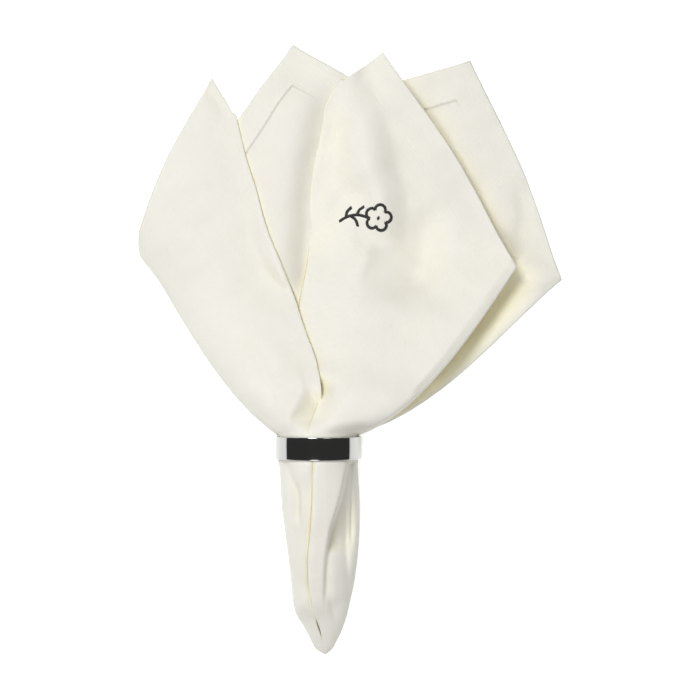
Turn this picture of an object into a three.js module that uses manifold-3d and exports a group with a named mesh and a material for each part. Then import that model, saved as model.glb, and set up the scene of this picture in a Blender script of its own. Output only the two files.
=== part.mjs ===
// A square cotton napkin, pinched at its middle and drawn through a metal ring, lying on a table.
// The middle of the cloth makes the pointed tail, and the four corners fan out beyond the ring.
// Millimetres, +Z up, +Y from the tail towards the corners, origin on the table under the middle.
import * as THREE from 'three';
import { mergeVertices } from 'three/addons/utils/BufferGeometryUtils.js';
import Module from 'manifold-3d';

// Cloth
const CLOTH_THICKNESS = 1;
const TABLE_HEIGHT = CLOTH_THICKNESS / 2; // middle of a layer that lies on the table
const TOP_LEVEL = 9; // layers are stacked in levels, from 0 on the table to this one
const STACK_AT_MOUTH = 3.9; // height from level to level beside the ring
const STACK_AT_CORNERS = 1.75; // and at the corners
const STACK_REACH = 95; // how far from the ring the stack comes down to that
const MOUTH_BLEND = 42; // how far from the ring its round bundle turns into flat layers
const LIFT_AT_HEM = 0.35; // share of a lane's lift that is left at the hem
const TURN_AT_HEM = 0.4; // share of a fold's roundness that is left at the hem
const TURN_OPENS = 0.4; // share of a line by which a fold has its own roundness
const TURN_IN_BUNDLE = 0.09; // roundness of a fold in the bundle, as a share of its half width

// Ring
const RING_DIAMETER = 45;
const RING_WIDTH = 11.5;
const RING_WALL = 1.3;
const RING_EDGE = 0.3; // rounding of the band's edges
const RING_SEGMENTS = 64;
const RING_X = -16.2;
const RING_Y = -49.7;
const RING_Z = (RING_DIAMETER / 2) * Math.cos(Math.PI / RING_SEGMENTS); // one flat of it lies on the table
const RING_CLEARANCE = 0.35;

// The round bundle of cloth inside the ring, to the middle of the sheet
const BUNDLE_RADIUS = RING_DIAMETER / 2 - RING_WALL - RING_CLEARANCE - CLOTH_THICKNESS / 2;
const MOUTH_Y = RING_Y + RING_WIDTH / 2 + 0.8;

// Sections of the tail and of the bundle in the ring: middle, half width, lowest and highest layer,
// and how square the section is (2 is round)
const SECTION_COLUMNS = ['y', 'x', 'half', 'low', 'top', 'square'];
const SECTIONS = table(SECTION_COLUMNS, [
  [-128, -14.1, 14.6, TABLE_HEIGHT, 24, 3.2],
  [-114, -13.9, 16.8, TABLE_HEIGHT, 28.5, 2.8],
  [-96, -13.9, 18.6, TABLE_HEIGHT, 33, 2.4],
  [-76, -15.1, 20.2, 1.2, 38, 2.2],
  [-57.5, -16.0, BUNDLE_RADIUS, RING_Z - BUNDLE_RADIUS, RING_Z + BUNDLE_RADIUS, 2],
  [MOUTH_Y, RING_X, BUNDLE_RADIUS, RING_Z - BUNDLE_RADIUS, RING_Z + BUNDLE_RADIUS, 2],
]);

// The closed end of the tail, where the pleats are pressed together into one bud
const BUD_COLUMNS = ['y', 'x', 'half', 'top', 'groove'];
const BUD = table(BUD_COLUMNS, [
  [-125.5, -14.0, 15.9, 25.4, 2.2],
  [-133, -14.5, 14.6, 21.5, 3.0],
  [-140, -14.2, 12.4, 17, 3.0],
  [-147, -13.4, 9.2, 12, 2.2],
  [-153, -13.4, 6.2, 8, 1.0],
  [-157.3, -13.3, 3.0, 5, 0],
]);
const BUD_TIP = new THREE.Vector3(-12.7, -158.6, 2);
const BUD_SIDES = 36;
// Grooves that run on from the tail's folds: place round the bud in degrees from its right side, and width
const BUD_GROOVES = table(['angle', 'width', 'share'], [
  [104, 13, 1],
  [62, 16, 0.7],
  [142, 12, 0.45],
  [228, 14, 0.6],
  [318, 14, 0.6],
]);

// Lines that run from the ring to the hem, in the order in which the cloth goes round its middle.
// side: -1 for a fold that points left, 1 for one that points right, 0 for a lane inside a panel.
// level: of the panel that follows. turn: how far the cloth takes to turn over at the fold.
// across: place in the bundle from -1, left, to 1, right. Then the places at one third, at two thirds
// and at the hem, how far a lane is lifted above its level, and the steps in the panel that follows.
const LINE_COLUMNS = [
  'name', 'side', 'level', 'turn', 'across',
  'lowX', 'lowY', 'highX', 'highY', 'hemX', 'hemY', 'lift', 'steps',
];
const LINES = table(LINE_COLUMNS, [
  ['leftOutline', -1, 9, 9, -1.0, -64.5, -17.5, -88.5, 17.5, -110.4, 55, 0, 2],
  ['leftLane', 0, 9, 0, -0.72, -50, 4, -75.5, 48, -97.2, 93.5, 5, 2],
  ['firstCorner', 0, 9, 0, -0.46, -35, 16, -57, 80, -71.4, 140.9, 5, 1],
  ['leftFlapFold', 1, 8, 1.2, -0.26, -25.6, 15, -47.5, 78, -60.5, 126.5, 0, 3],
  ['leftInner', -1, 7, 1.2, -0.82, -52.5, -8.5, -75, 28, -96.5, 66, 0, 2],
  ['leftPleat', 1, 6, 1.2, -0.36, -31, 12, -50, 62, -62, 96, 0, 2],
  ['leftInnerBack', -1, 5, 1.2, -0.82, -52.5, -8.5, -75, 28, -96, 67, 0, 3],
  ['secondCorner', 0, 5, 0, -0.2, -21, 22, -27, 92, -29.6, 158.6, 0, 2],
  ['secondEdge', 0, 5, 0, 0.3, 8, 14, 17, 72, 22, 125.8, 0, 2],
  ['rightInnerBack', 1, 6, 1.2, 0.76, 25.5, -14.5, 51, 17, 65, 62, 0, 2],
  ['rightPleat', -1, 7, 1.2, 0.06, -9, 14, -8, 66, 4, 92, 0, 2],
  ['rightInner', 1, 8, 1.2, 0.76, 25.5, -14.5, 51, 17, 66, 63, 0, 3],
  ['middleRoll', -1, 9, 2.4, -0.1, -19.2, 14, -22.1, 75, -12.7, 131.6, 0, 2],
  ['thirdCorner', 0, 9, 0, 0.25, 4, 17, 9, 90, 17.1, 154.9, 6, 3],
  ['thirdEdge', 0, 9, 0, 0.62, 21, -2, 41, 52, 56.8, 97.4, 5, 2],
  ['rightFlapFold', 1, 4, 5, 0.97, 33, -22, 60, 10.5, 86, 43, 0, 4],
  ['backInner', -1, 3, 1.2, -0.78, -50, -6.5, -70, 32, -88, 64, 0, 4],
  ['backPleat', 1, 2, 1.2, 0.72, 25, -14, 50, 18, 68, 54, 0, 4],
  ['backInnerLast', -1, 1, 1.2, -0.74, -50, -6.5, -70, 32, -86, 66, 0, 3],
  ['fourthInnerEdge', 0, 1, 0, -0.1, -12, 14, -4, 76, 4, 132.2, 0, 3],
  ['fourthCorner', 0, 1, 0, 0.2, 12, 14, 38, 82, 62.8, 151.3, 0, 2],
  ['fourthEdge', 0, 1, 0, 0.5, 30, -6, 64, 38, 93.2, 87.2, 0, 2],
  ['rightOutline', 1, 0, 1.4, 0.8, 43, -23.5, 79, 7.8, 110.5, 36.6, 0, 3],
  ['underside', 0, 0, 0, -0.1, -8, 0, -5, 34, -2, 66, 0, 3],
]);

// Steps from the ring's mouth to the hem, as shares of each line
const FAN_STEPS = [0.04, 0.09, 0.15, 0.22, 0.3, 0.39, 0.49, 0.6, 0.71, 0.82, 0.92, 1];

const CLOTH_COLOUR = 0xf0eee4;
const METAL_COLOUR = 0xc9c9c7;

function table(columns, rows) {
  return rows.map((row) => Object.fromEntries(columns.map((column, i) => [column, row[i]])));
}

function mix(a, b, share) {
  return a + (b - a) * share;
}

// Place along a line: a cubic through the mouth, one third, two thirds and the hem
function along(values, share) {
  const [mouth, low, high, hem] = values;
  const s = share * 3;
  const mouthWeight = ((1 - s) * (2 - s) * (3 - s)) / 6;
  const lowWeight = (s * (2 - s) * (3 - s)) / 2;
  const highWeight = (s * (s - 1) * (3 - s)) / 2;
  const hemWeight = (s * (s - 1) * (s - 2)) / 6;
  return mouth * mouthWeight + low * lowWeight + high * highWeight + hem * hemWeight;
}

function linePlace(line, share) {
  const mouthX = RING_X + line.across * BUNDLE_RADIUS;
  return new THREE.Vector2(
    along([mouthX, line.lowX, line.highX, line.hemX], share),
    along([MOUTH_Y, line.lowY, line.highY, line.hemY], share),
  );
}

// Direction in plan in which a fold points
function foldDirection(line, share) {
  const nudge = 0.02;
  const ahead = linePlace(line, Math.min(share + nudge, 1));
  const tangent = ahead.sub(linePlace(line, Math.max(share - nudge, 0))).normalize();
  return new THREE.Vector2(tangent.y, -tangent.x).multiplyScalar(line.side);
}

// Columns of the sheet: each holds its place in a section and its place in the fan
function foldColumn(line, levelBefore, turned) {
  const angle = mix(Math.PI / 2, -Math.PI / 2, turned);
  const inset = 1 - Math.cos(angle);
  const level = (levelBefore + line.level) / 2 + ((levelBefore - line.level) / 2) * Math.sin(angle);
  return {
    level,
    across: line.across - line.side * TURN_IN_BUNDLE * inset,
    lift: line.lift,
    place(share) {
      const opened = THREE.MathUtils.smoothstep(share, 0, TURN_OPENS);
      const ownTurn = line.turn * mix(1, TURN_AT_HEM, share * share);
      const turn = mix(TURN_IN_BUNDLE * BUNDLE_RADIUS, ownTurn, opened);
      return linePlace(line, share).addScaledVector(foldDirection(line, share), -turn * inset);
    },
  };
}

function laneColumn(line) {
  const { level, across, lift } = line;
  return { level, across, lift, place: (share) => linePlace(line, share) };
}

function columnBetween(a, b, share) {
  return {
    level: mix(a.level, b.level, share),
    across: mix(a.across, b.across, share),
    lift: mix(a.lift, b.lift, share),
    place: (fanShare) => a.place(fanShare).lerp(b.place(fanShare), share),
  };
}

function columnsOfLine(line, levelBefore) {
  if (line.side === 0) {
    return [laneColumn(line)];
  }
  const turns = line.turn > 2 ? 4 : 2;
  const columns = [];
  for (let i = 0; i <= turns; i += 1) {
    columns.push(foldColumn(line, levelBefore, i / turns));
  }
  return columns;
}

function sheetColumns() {
  const groups = LINES.map((line, i) => {
    const before = LINES[(i + LINES.length - 1) % LINES.length];
    return columnsOfLine(line, before.level);
  });
  const columns = [];
  groups.forEach((group, i) => {
    const next = groups[(i + 1) % groups.length][0];
    const last = group[group.length - 1];
    columns.push(...group);
    for (let step = 1; step <= LINES[i].steps; step += 1) {
      columns.push(columnBetween(last, next, step / (LINES[i].steps + 1)));
    }
  });
  return columns;
}

function bundlePoint(column, section) {
  const roundness = Math.max(0, 1 - Math.abs(column.across) ** section.square) ** (1 / section.square);
  const halfHeight = ((section.top - section.low) / 2) * roundness;
  const middle = (section.top + section.low) / 2;
  return new THREE.Vector3(
    section.x + column.across * section.half,
    section.y,
    middle + halfHeight * ((2 * column.level) / TOP_LEVEL - 1),
  );
}

function fanPoint(column, share) {
  const place = column.place(share);
  const beside = Math.max(0, Math.abs(place.x - RING_X) - BUNDLE_RADIUS);
  const distance = Math.hypot(beside, place.y - MOUTH_Y);
  const spread = THREE.MathUtils.smoothstep(distance, 0, STACK_REACH);
  const stack = mix(STACK_AT_MOUTH, STACK_AT_CORNERS, spread);
  const lift = column.lift * mix(Math.sin(Math.PI * share), LIFT_AT_HEM, share * share);
  const flat = TABLE_HEIGHT + column.level * stack + lift;
  const round = bundlePoint(column, SECTIONS[SECTIONS.length - 1]).z;
  const flattened = THREE.MathUtils.smoothstep(distance, 0, MOUTH_BLEND);
  return new THREE.Vector3(place.x, place.y, mix(round, flat, flattened));
}

function sheetGrid() {
  const columns = sheetColumns();
  const rows = SECTIONS.map((section) => columns.map((column) => bundlePoint(column, section)));
  FAN_STEPS.forEach((share) => rows.push(columns.map((column) => fanPoint(column, share))));
  return rows;
}

// Normal of the sheet at one point of its grid, on the outside of the loop
function sheetNormal(rows, r, c) {
  const count = rows[0].length;
  const alongSheet = rows[Math.min(r + 1, rows.length - 1)][c].clone().sub(rows[Math.max(r - 1, 0)][c]);
  const aroundBefore = rows[r][c].clone().sub(rows[r][(c + count - 1) % count]).normalize();
  const aroundAfter = rows[r][(c + 1) % count].clone().sub(rows[r][c]).normalize();
  return aroundBefore.add(aroundAfter).cross(alongSheet).normalize();
}

// The sheet with its thickness: an outer face, an inner face, and a rim at each end
function sheetGeometry() {
  const rows = sheetGrid();
  const count = rows[0].length;
  const positions = [];
  [1, -1].forEach((face) => {
    rows.forEach((row, r) => row.forEach((point, c) => {
      const offset = sheetNormal(rows, r, c).multiplyScalar((face * CLOTH_THICKNESS) / 2);
      positions.push(...point.clone().add(offset).toArray());
    }));
  });
  const inner = rows.length * count;
  const indices = [];
  const quad = (a, b, c, d) => indices.push(a, b, c, a, c, d);
  for (let c = 0; c < count; c += 1) {
    const next = (c + 1) % count;
    for (let r = 0; r + 1 < rows.length; r += 1) {
      const here = r * count;
      const above = here + count;
      quad(here + c, here + next, above + next, above + c);
      quad(inner + here + next, inner + here + c, inner + above + c, inner + above + next);
    }
    const hem = (rows.length - 1) * count;
    quad(hem + c, hem + next, inner + hem + next, inner + hem + c);
    quad(next, c, inner + c, inner + next);
  }
  return indexedGeometry(positions, indices);
}

function grooveDepth(angle) {
  return BUD_GROOVES.reduce((depth, groove) => {
    const away = THREE.MathUtils.euclideanModulo(angle - groove.angle + 180, 360) - 180;
    return depth + groove.share * Math.exp(-((away / groove.width) ** 2));
  }, 0);
}

function budGeometry() {
  const positions = [];
  BUD.forEach((section) => {
    for (let i = 0; i < BUD_SIDES; i += 1) {
      const turn = (i / BUD_SIDES) * 2 * Math.PI;
      const pressed = section.groove * grooveDepth((turn * 180) / Math.PI);
      positions.push(
        section.x + (section.half - pressed) * Math.cos(turn),
        section.y,
        section.top / 2 + (section.top / 2 - pressed) * Math.sin(turn),
      );
    }
  });
  const start = BUD.length * BUD_SIDES;
  positions.push(BUD[0].x, BUD[0].y, BUD[0].top / 2);
  positions.push(...BUD_TIP.toArray());
  const indices = [];
  for (let i = 0; i < BUD_SIDES; i += 1) {
    const next = (i + 1) % BUD_SIDES;
    for (let r = 0; r + 1 < BUD.length; r += 1) {
      const here = r * BUD_SIDES;
      const beyond = here + BUD_SIDES;
      indices.push(here + i, here + next, beyond + next, here + i, beyond + next, beyond + i);
    }
    const last = (BUD.length - 1) * BUD_SIDES;
    indices.push(start, next, i);
    indices.push(start + 1, last + i, last + next);
  }
  return indexedGeometry(positions, indices);
}

function indexedGeometry(positions, indices) {
  const geometry = new THREE.BufferGeometry();
  geometry.setAttribute('position', new THREE.Float32BufferAttribute(positions, 3));
  geometry.setIndex(indices);
  return geometry;
}

const wasm = await Module();
wasm.setup();

function toSolid(geometry) {
  const merged = mergeVertices(geometry);
  return new wasm.Manifold(new wasm.Mesh({
    numProp: 3,
    vertProperties: new Float32Array(merged.attributes.position.array),
    triVerts: new Uint32Array(merged.index.array),
  }));
}

function fromSolid(solid) {
  const mesh = solid.getMesh();
  return indexedGeometry(Array.from(mesh.vertProperties), Array.from(mesh.triVerts));
}

function napkin() {
  const geometry = fromSolid(toSolid(sheetGeometry()).add(toSolid(budGeometry())));
  geometry.computeVertexNormals();
  const material = new THREE.MeshStandardMaterial({ color: CLOTH_COLOUR, roughness: 0.9, metalness: 0 });
  const mesh = new THREE.Mesh(geometry, material);
  mesh.name = 'napkin';
  return mesh;
}

function ring() {
  const outer = RING_DIAMETER / 2;
  const inner = outer - RING_WALL;
  const half = RING_WIDTH / 2;
  const profile = [
    new THREE.Vector2(inner + RING_EDGE, -half),
    new THREE.Vector2(outer - RING_EDGE, -half),
    new THREE.Vector2(outer, -half + RING_EDGE),
    new THREE.Vector2(outer, half - RING_EDGE),
    new THREE.Vector2(outer - RING_EDGE, half),
    new THREE.Vector2(inner + RING_EDGE, half),
    new THREE.Vector2(inner, half - RING_EDGE),
    new THREE.Vector2(inner, -half + RING_EDGE),
    new THREE.Vector2(inner + RING_EDGE, -half),
  ];
  const geometry = new THREE.LatheGeometry(profile, RING_SEGMENTS, Math.PI / RING_SEGMENTS);
  const material = new THREE.MeshStandardMaterial({ color: METAL_COLOUR, roughness: 0.12, metalness: 1 });
  const mesh = new THREE.Mesh(geometry, material);
  mesh.name = 'ring';
  mesh.position.set(RING_X, RING_Y, RING_Z);
  return mesh;
}

const napkinInRing = new THREE.Group();
napkinInRing.add(napkin(), ring());

export default napkinInRing;
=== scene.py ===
"""Cotton napkin drawn through a metal ring: the cloth, its sewing, the ring and the studio."""
import math
from collections import namedtuple

import bpy
import numpy as np
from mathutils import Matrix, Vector
from mathutils.bvhtree import BVHTree


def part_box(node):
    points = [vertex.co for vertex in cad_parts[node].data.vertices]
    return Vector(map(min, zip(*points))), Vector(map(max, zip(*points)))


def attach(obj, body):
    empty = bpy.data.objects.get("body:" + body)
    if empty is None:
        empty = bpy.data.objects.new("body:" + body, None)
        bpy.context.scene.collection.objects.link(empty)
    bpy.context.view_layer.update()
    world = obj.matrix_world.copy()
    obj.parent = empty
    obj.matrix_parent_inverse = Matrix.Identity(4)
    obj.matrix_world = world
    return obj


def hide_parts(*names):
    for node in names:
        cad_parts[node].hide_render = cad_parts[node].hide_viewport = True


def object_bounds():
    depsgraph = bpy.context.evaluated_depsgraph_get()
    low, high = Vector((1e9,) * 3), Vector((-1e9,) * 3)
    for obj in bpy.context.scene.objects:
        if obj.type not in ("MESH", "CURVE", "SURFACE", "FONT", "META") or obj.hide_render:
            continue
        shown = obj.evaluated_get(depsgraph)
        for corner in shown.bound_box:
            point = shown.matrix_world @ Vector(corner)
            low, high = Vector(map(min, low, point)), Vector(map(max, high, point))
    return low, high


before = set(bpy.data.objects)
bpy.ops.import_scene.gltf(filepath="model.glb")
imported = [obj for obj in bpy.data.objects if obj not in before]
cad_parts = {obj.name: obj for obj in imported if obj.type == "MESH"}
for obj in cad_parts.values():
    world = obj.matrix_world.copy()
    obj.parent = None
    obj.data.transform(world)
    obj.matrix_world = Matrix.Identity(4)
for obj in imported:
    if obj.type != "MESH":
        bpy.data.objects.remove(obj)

bl_info = {
    "name": "Napkin in a ring",
    "version": (1, 0, 0),
    "blender": (4, 5, 0),
    "location": "View3D > Sidebar > Napkin",
    "description": "Makes a hemmed cotton napkin drawn through a polished metal ring",
    "category": "Add Mesh",
}

CAD_LOW, CAD_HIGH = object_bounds()
RING_LOW, RING_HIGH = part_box("ring")
MM = 0.001  # the tables below are in millimetres

# Places that come from the frame, in millimetres
RING_X = (RING_LOW.x + RING_HIGH.x) / 2 / MM
RING_Y = (RING_LOW.y + RING_HIGH.y) / 2 / MM
RING_Z = (RING_LOW.z + RING_HIGH.z) / 2 / MM
RING_OUTER = (RING_HIGH.x - RING_LOW.x) / 2 / MM
RING_WIDTH = (RING_HIGH.y - RING_LOW.y) / MM
RING_WALL = 1.3
RING_CLEARANCE = 0.45  # from the band to the middle of the cloth's thickness
BUNDLE_RADIUS = RING_OUTER - RING_WALL - RING_CLEARANCE
ENTRY_Y = RING_LOW.y / MM + 1  # where the tail becomes round, in the ring
MOUTH_Y = RING_HIGH.y / MM + 0.5  # where the cloth comes out of the ring

# The cloth's stack of layers. Distances are from the ring's mouth.
TOP_LEVEL = 9  # of the uppermost flaps, counted from the underside
STACK_AT_MOUTH = 3.9  # height of a level beside the ring
STACK_AT_CORNERS = 1.45  # height of a level far from it
STACK_REACH = 95  # distance over which the one becomes the other
MOUTH_BLEND = 42  # distance over which the round bundle flattens into the stack
MOUTH_SWELL = 3.6  # how far the bundle swells past the ring
SWELL_REACH = 7  # distance over which it does
CREASES_OPEN = (1, 9)  # distance over which creases come in
ROUND = 2.0  # squareness of a round section
TURN_AT_HEM = 0.4  # width of a fold at the hem, as a share of its own
TURN_OPENS = 0.4  # share of the way to the hem at which a fold has its own width
TURN_IN_BUNDLE = 0.09  # width of a fold in the ring, as a share of the bundle's radius
LAYER_GAP = 0.55  # between layers that lie pressed together at a fold
SECOND_RISE = 0.5  # of the second panel between the flaps, near the hem
CREASE_TAPER = 0.18  # usual share of a crease's length over which each end fades

# Marks of the lines that aren't folds
LANE = 0
CORNER = 2
# Lines from the ring to the hem, in the order in which the cloth goes round its middle.
# side: -1 a fold that points left, 1 one that points right, LANE inside a panel, or CORNER.
# level: of the panel that follows. turn: how far the cloth takes to turn over. across: place in the
# bundle, from -1 to 1. low, high and hem: places at one third, at two thirds and at the edge, or None
# where FOLD_PATHS gives the way. steps and panel: columns and name of the panel that follows.
Line = namedtuple("Line", "name side level turn across low high hem steps panel")
LINES = [Line(*row) for row in (
    ("left_outline", -1, 9, 9.0, -1.00, (-64.5, -17.5), (-88.5, 17.5), (-110.4, 55.0), 14, "left"),
    ("left_lane", LANE, 9, 0, -0.72, (-50.0, 4.0), (-75.5, 48.0), (-97.2, 93.5), 16, "left"),
    ("first_corner", CORNER, 9, 0, -0.46, (-35.0, 16.0), (-57.0, 80.0), (-71.4, 140.9), 7, "left"),
    ("left_flap_fold", 1, 8, 2.6, -0.06, None, None, None, 8, "left_back"),
    ("left_inner", -1, 7, 1.2, -0.82, (-52.5, -8.5), (-75.0, 28.0), (-96.5, 66.0), 5, "hidden"),
    ("left_pleat", 1, 6, 1.2, -0.36, (-33.0, 12.0), (-54.0, 60.0), (-68.0, 92.0), 5, "hidden"),
    ("left_inner_back", -1, 5, 1.2, -0.82, (-52.5, -8.5), (-75.0, 28.0), (-96.0, 67.0), 18, "second"),
    ("second_corner", CORNER, 5, 0, -0.20, (-21.0, 22.0), (-27.0, 92.0), (-29.6, 158.6), 14, "second"),
    ("second_edge", LANE, 5, 0, 0.30, (8.0, 14.0), (17.0, 72.0), (22.0, 125.8), 6, "second"),
    ("right_inner_back", 1, 6, 1.2, 0.76, (25.5, -14.5), (51.0, 17.0), (65.0, 62.0), 5, "hidden"),
    ("right_pleat", -1, 7, 1.2, 0.06, (-9.0, 14.0), (-8.0, 66.0), (4.0, 92.0), 5, "hidden"),
    ("right_inner", 1, 8, 1.2, 0.76, (25.5, -14.5), (51.0, 17.0), (66.0, 63.0), 8, "third_back"),
    ("middle_roll", -1, 9, 4.0, -0.26, None, None, None, 14, "third"),
    ("third_corner", CORNER, 9, 0, 0.25, (4.0, 17.0), (9.0, 90.0), (17.1, 154.9), 22, "third"),
    ("third_edge", LANE, 9, 0, 0.62, (21.0, -2.0), (41.0, 52.0), (56.8, 97.4), 18, "third"),
    ("right_flap_fold", 1, 4, 2.6, 0.97, (34.6, -23.2), (62.3, 8.6), (86.0, 43.0), 10, "fourth_back"),
    ("back_inner", -1, 3, 1.2, -0.78, (-50.0, -6.5), (-70.0, 32.0), (-88.0, 64.0), 8, "hidden"),
    ("back_pleat", 1, 2, 1.2, 0.72, (25.0, -14.0), (50.0, 18.0), (68.0, 54.0), 8, "hidden"),
    ("back_inner_last", -1, 1, 1.2, -0.74, (-50.0, -6.5), (-70.0, 32.0), (-86.0, 66.0), 10, "fourth"),
    ("fourth_inner_edge", LANE, 1, 0, -0.10, (-12.0, 14.0), (-4.0, 76.0), (4.0, 132.2), 10, "fourth"),
    ("fourth_corner", CORNER, 1, 0, 0.20, (12.0, 14.0), (38.0, 82.0), (62.8, 151.3), 14, "fourth"),
    ("fourth_edge", LANE, 1, 0, 0.50, (30.0, -6.0), (64.0, 38.0), (93.2, 87.2), 14, "fourth"),
    ("right_outline", 1, 0, 1.4, 0.80, (43.0, -23.5), (79.0, 7.8), (110.5, 36.6), 12, "underside"),
    ("underside", LANE, 0, 0, -0.10, (-8.0, 0.0), (-5.0, 34.0), (-2.0, 66.0), 12, "underside"),
)]
WIDE_TURN = 2  # a fold wider than this is a wide one
ROUND_TURNS = 10  # columns round a wide fold
TIGHT_TURNS = 6  # columns round a tight one
# Paths of the two folds that show most, from the ring to the hem
FOLD_PATHS = {
    "left_flap_fold": (
        (-17.4, MOUTH_Y), (-15.4, -33.0), (-14.5, -24.7), (-17.2, -5.8), (-22.6, 9.1), (-29.5, 29.5),
        (-34.8, 43.0), (-43.0, 63.0), (-49.2, 85.4), (-53.2, 97.5), (-59.3, 122.5)),
    "middle_roll": (
        (-21.6, MOUTH_Y), (-19.0, -35.0), (-16.0, -26.5), (-20.0, -12.0), (-25.5, 5.0), (-26.2, 22.0),
        (-22.4, 42.0), (-20.6, 62.0), (-20.3, 80.0), (-18.6, 95.0), (-14.6, 113.0), (-11.5, 129.0),
        (-4.5, 141.0)),
}
LEFT_CORNER_DROP = 7.0  # how far the left roll's end slopes along the hem
LEFT_CORNER_SPAN = (0.7, 1)  # shares of the way to the hem over which it does
LEFT_CORNER_TURN = 0.15  # its width there, as a share of the roll's

# Sections of the tail, from its tip to the ring: middle, half width, top and squareness
Section = namedtuple("Section", "y x half top square")
SECTIONS = [Section(*row) for row in (
    (-158.6, -12.9, 0.7, 3.2, 2.0),
    (-157.2, -13.3, 3.0, 5.0, 2.0),
    (-152.3, -13.5, 6.3, 8.5, 2.0),
    (-147.0, -13.4, 8.8, 12.0, 2.1),
    (-142.5, -13.8, 10.8, 14.5, 2.1),
    (-138.8, -14.4, 12.7, 17.0, 2.2),
    (-132.6, -14.6, 14.4, 22.5, 2.4),
    (-120.7, -13.9, 16.3, 28.5, 2.6),
    (-103.0, -13.7, 18.4, 34.0, 2.6),
    (-81.0, -14.7, 20.2, 39.0, 2.5),
    (-57.0, -16.0, 20.5, 43.0, 2.0),
)]
TIP = SECTIONS[0]
TIP_HEIGHT = 1.6  # of the point that closes the tip
TIP_LENGTH = 0.3  # how far it stands out
TIP_THIN = (TIP.y - 3, -140)  # the pressed tip's cloth comes to its thickness over this stretch
TAIL_LIFTS = (-95, -57)  # where the tail's underside rises from the table to the ring
TAIL_CREASES_OPEN = (-157, -140)  # where the tail's creases come in
TAIL_CREASES_CLOSE = (-57.5, -54.5)  # where they fade into the ring
DEEPEST_PRESS = -0.7  # share of the tail's height that creases may take
LEAST_HEIGHT = 3  # height for which that share is worked out at least

# Line between the left and the right half of the tail, and how far it gapes (below zero it overlaps)
Seam = namedtuple("Seam", "y x gape")
TAIL_SEAM = [Seam(*row) for row in (
    (-158.6, -12.9, -0.6),
    (-152.0, -13.9, -0.6),
    (-147.0, -15.2, 0.7),
    (-141.5, -16.7, 0.9),
    (-136.1, -18.1, 0.0),
    (-125.3, -20.3, 0.0),
    (-116.4, -21.0, 0.0),
    (-102.9, -21.0, 0.0),
    (-92.1, -19.9, 0.0),
    (-75.9, -18.9, -0.1),
    (-56.8, -18.5, -0.3),
)]
SEAM_LINES = {"left_flap_fold": -0.5, "middle_roll": 0.5}  # share of the gape on each line's side
SEAM_END_Y = -58  # from here on the two lines part, up to their places at the mouth
SEAM_PATH = tuple((seam.x, seam.y) for seam in TAIL_SEAM[1:])

# Soft creases by panel: points in plan, width on the left and on the right of the way they run, height
# (below zero a trough) and taper. A panel's back follows its creases.
Crease = namedtuple("Crease", "panel points left right height taper", defaults=(CREASE_TAPER,))
OUTLINE_RIDGE = ((-4, -46), (14, -40), (52, -18), (84, 15), (98, 28), (112, 42))
CREASES = [Crease(*row) for row in (
    ("left", ((-30, -40), (-60, 38), (-84, 112)), 26, 26, 2.6),
    ("left", ((-40, -22), (-22, -15)), 6, 6, 1.4),
    ("left", ((-36, -22), (-53, 6)), 6, 6, -1.6),
    ("left", ((-77, 138), (-58, 119)), 3.5, 4, -2.0),
    ("left", ((-60, 28), (-90, 58)), 7, 7, 0.8),
    ("left", ((-36, -58), (-64.5, -17.5), (-88.5, 17.5), (-110.4, 55), (-130, 90)), 10, 10, -7.0),
    ("second", ((-29, 96), (-14, 113.5)), 1.8, 1.8, 0.9),
    ("third", ((0, -20), (18, 40), (24, 120), (30, 200)), 40, 40, -1.5),
    ("third", ((2, 8), (3, 40), (6, 80), (8, 116)), 22, 22, 2.0),
    ("third", ((92, 36), (78, 60), (70, 76), (56, 97), (39, 126), (29, 140), (8, 172)), 30, 16, -5.0),
    ("third", ((1.5, 33), (13, 57)), 3.5, 3.0, 0.9),
    ("third", ((8, -33), (54, 26)), 6, 6, 0.8),
    ("third", ((-20, -56), (-19.5, -40), (-17.5, -32), (-15.5, -26), (-16, -12)), 8, 8, -6.0),
    ("third", ((-20, 0), (10, 12), (45, 6), (80, 0)), 28, 28, 3.5),
    ("third", ((0, -52), (14, -36), (36, -14), (66, 18), (104, 62)), 20, 20, 6.0),
    ("third", ((-8, -64), (4, -51), (18, -37), (34.6, -23.2), (62.3, 8.6), (86, 43), (98, 58)),
     11, 11, 3.5),
    ("fourth", ((84, 45), (116, 36.5)), 4, 3, 2.4),
    ("fourth", ((90, 54), (92, 90)), 5, 5, -1.6),
    ("fourth", OUTLINE_RIDGE, 11, 11, 9.0),
    ("underside", OUTLINE_RIDGE, 11, 11, 9.0),
)]
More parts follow.
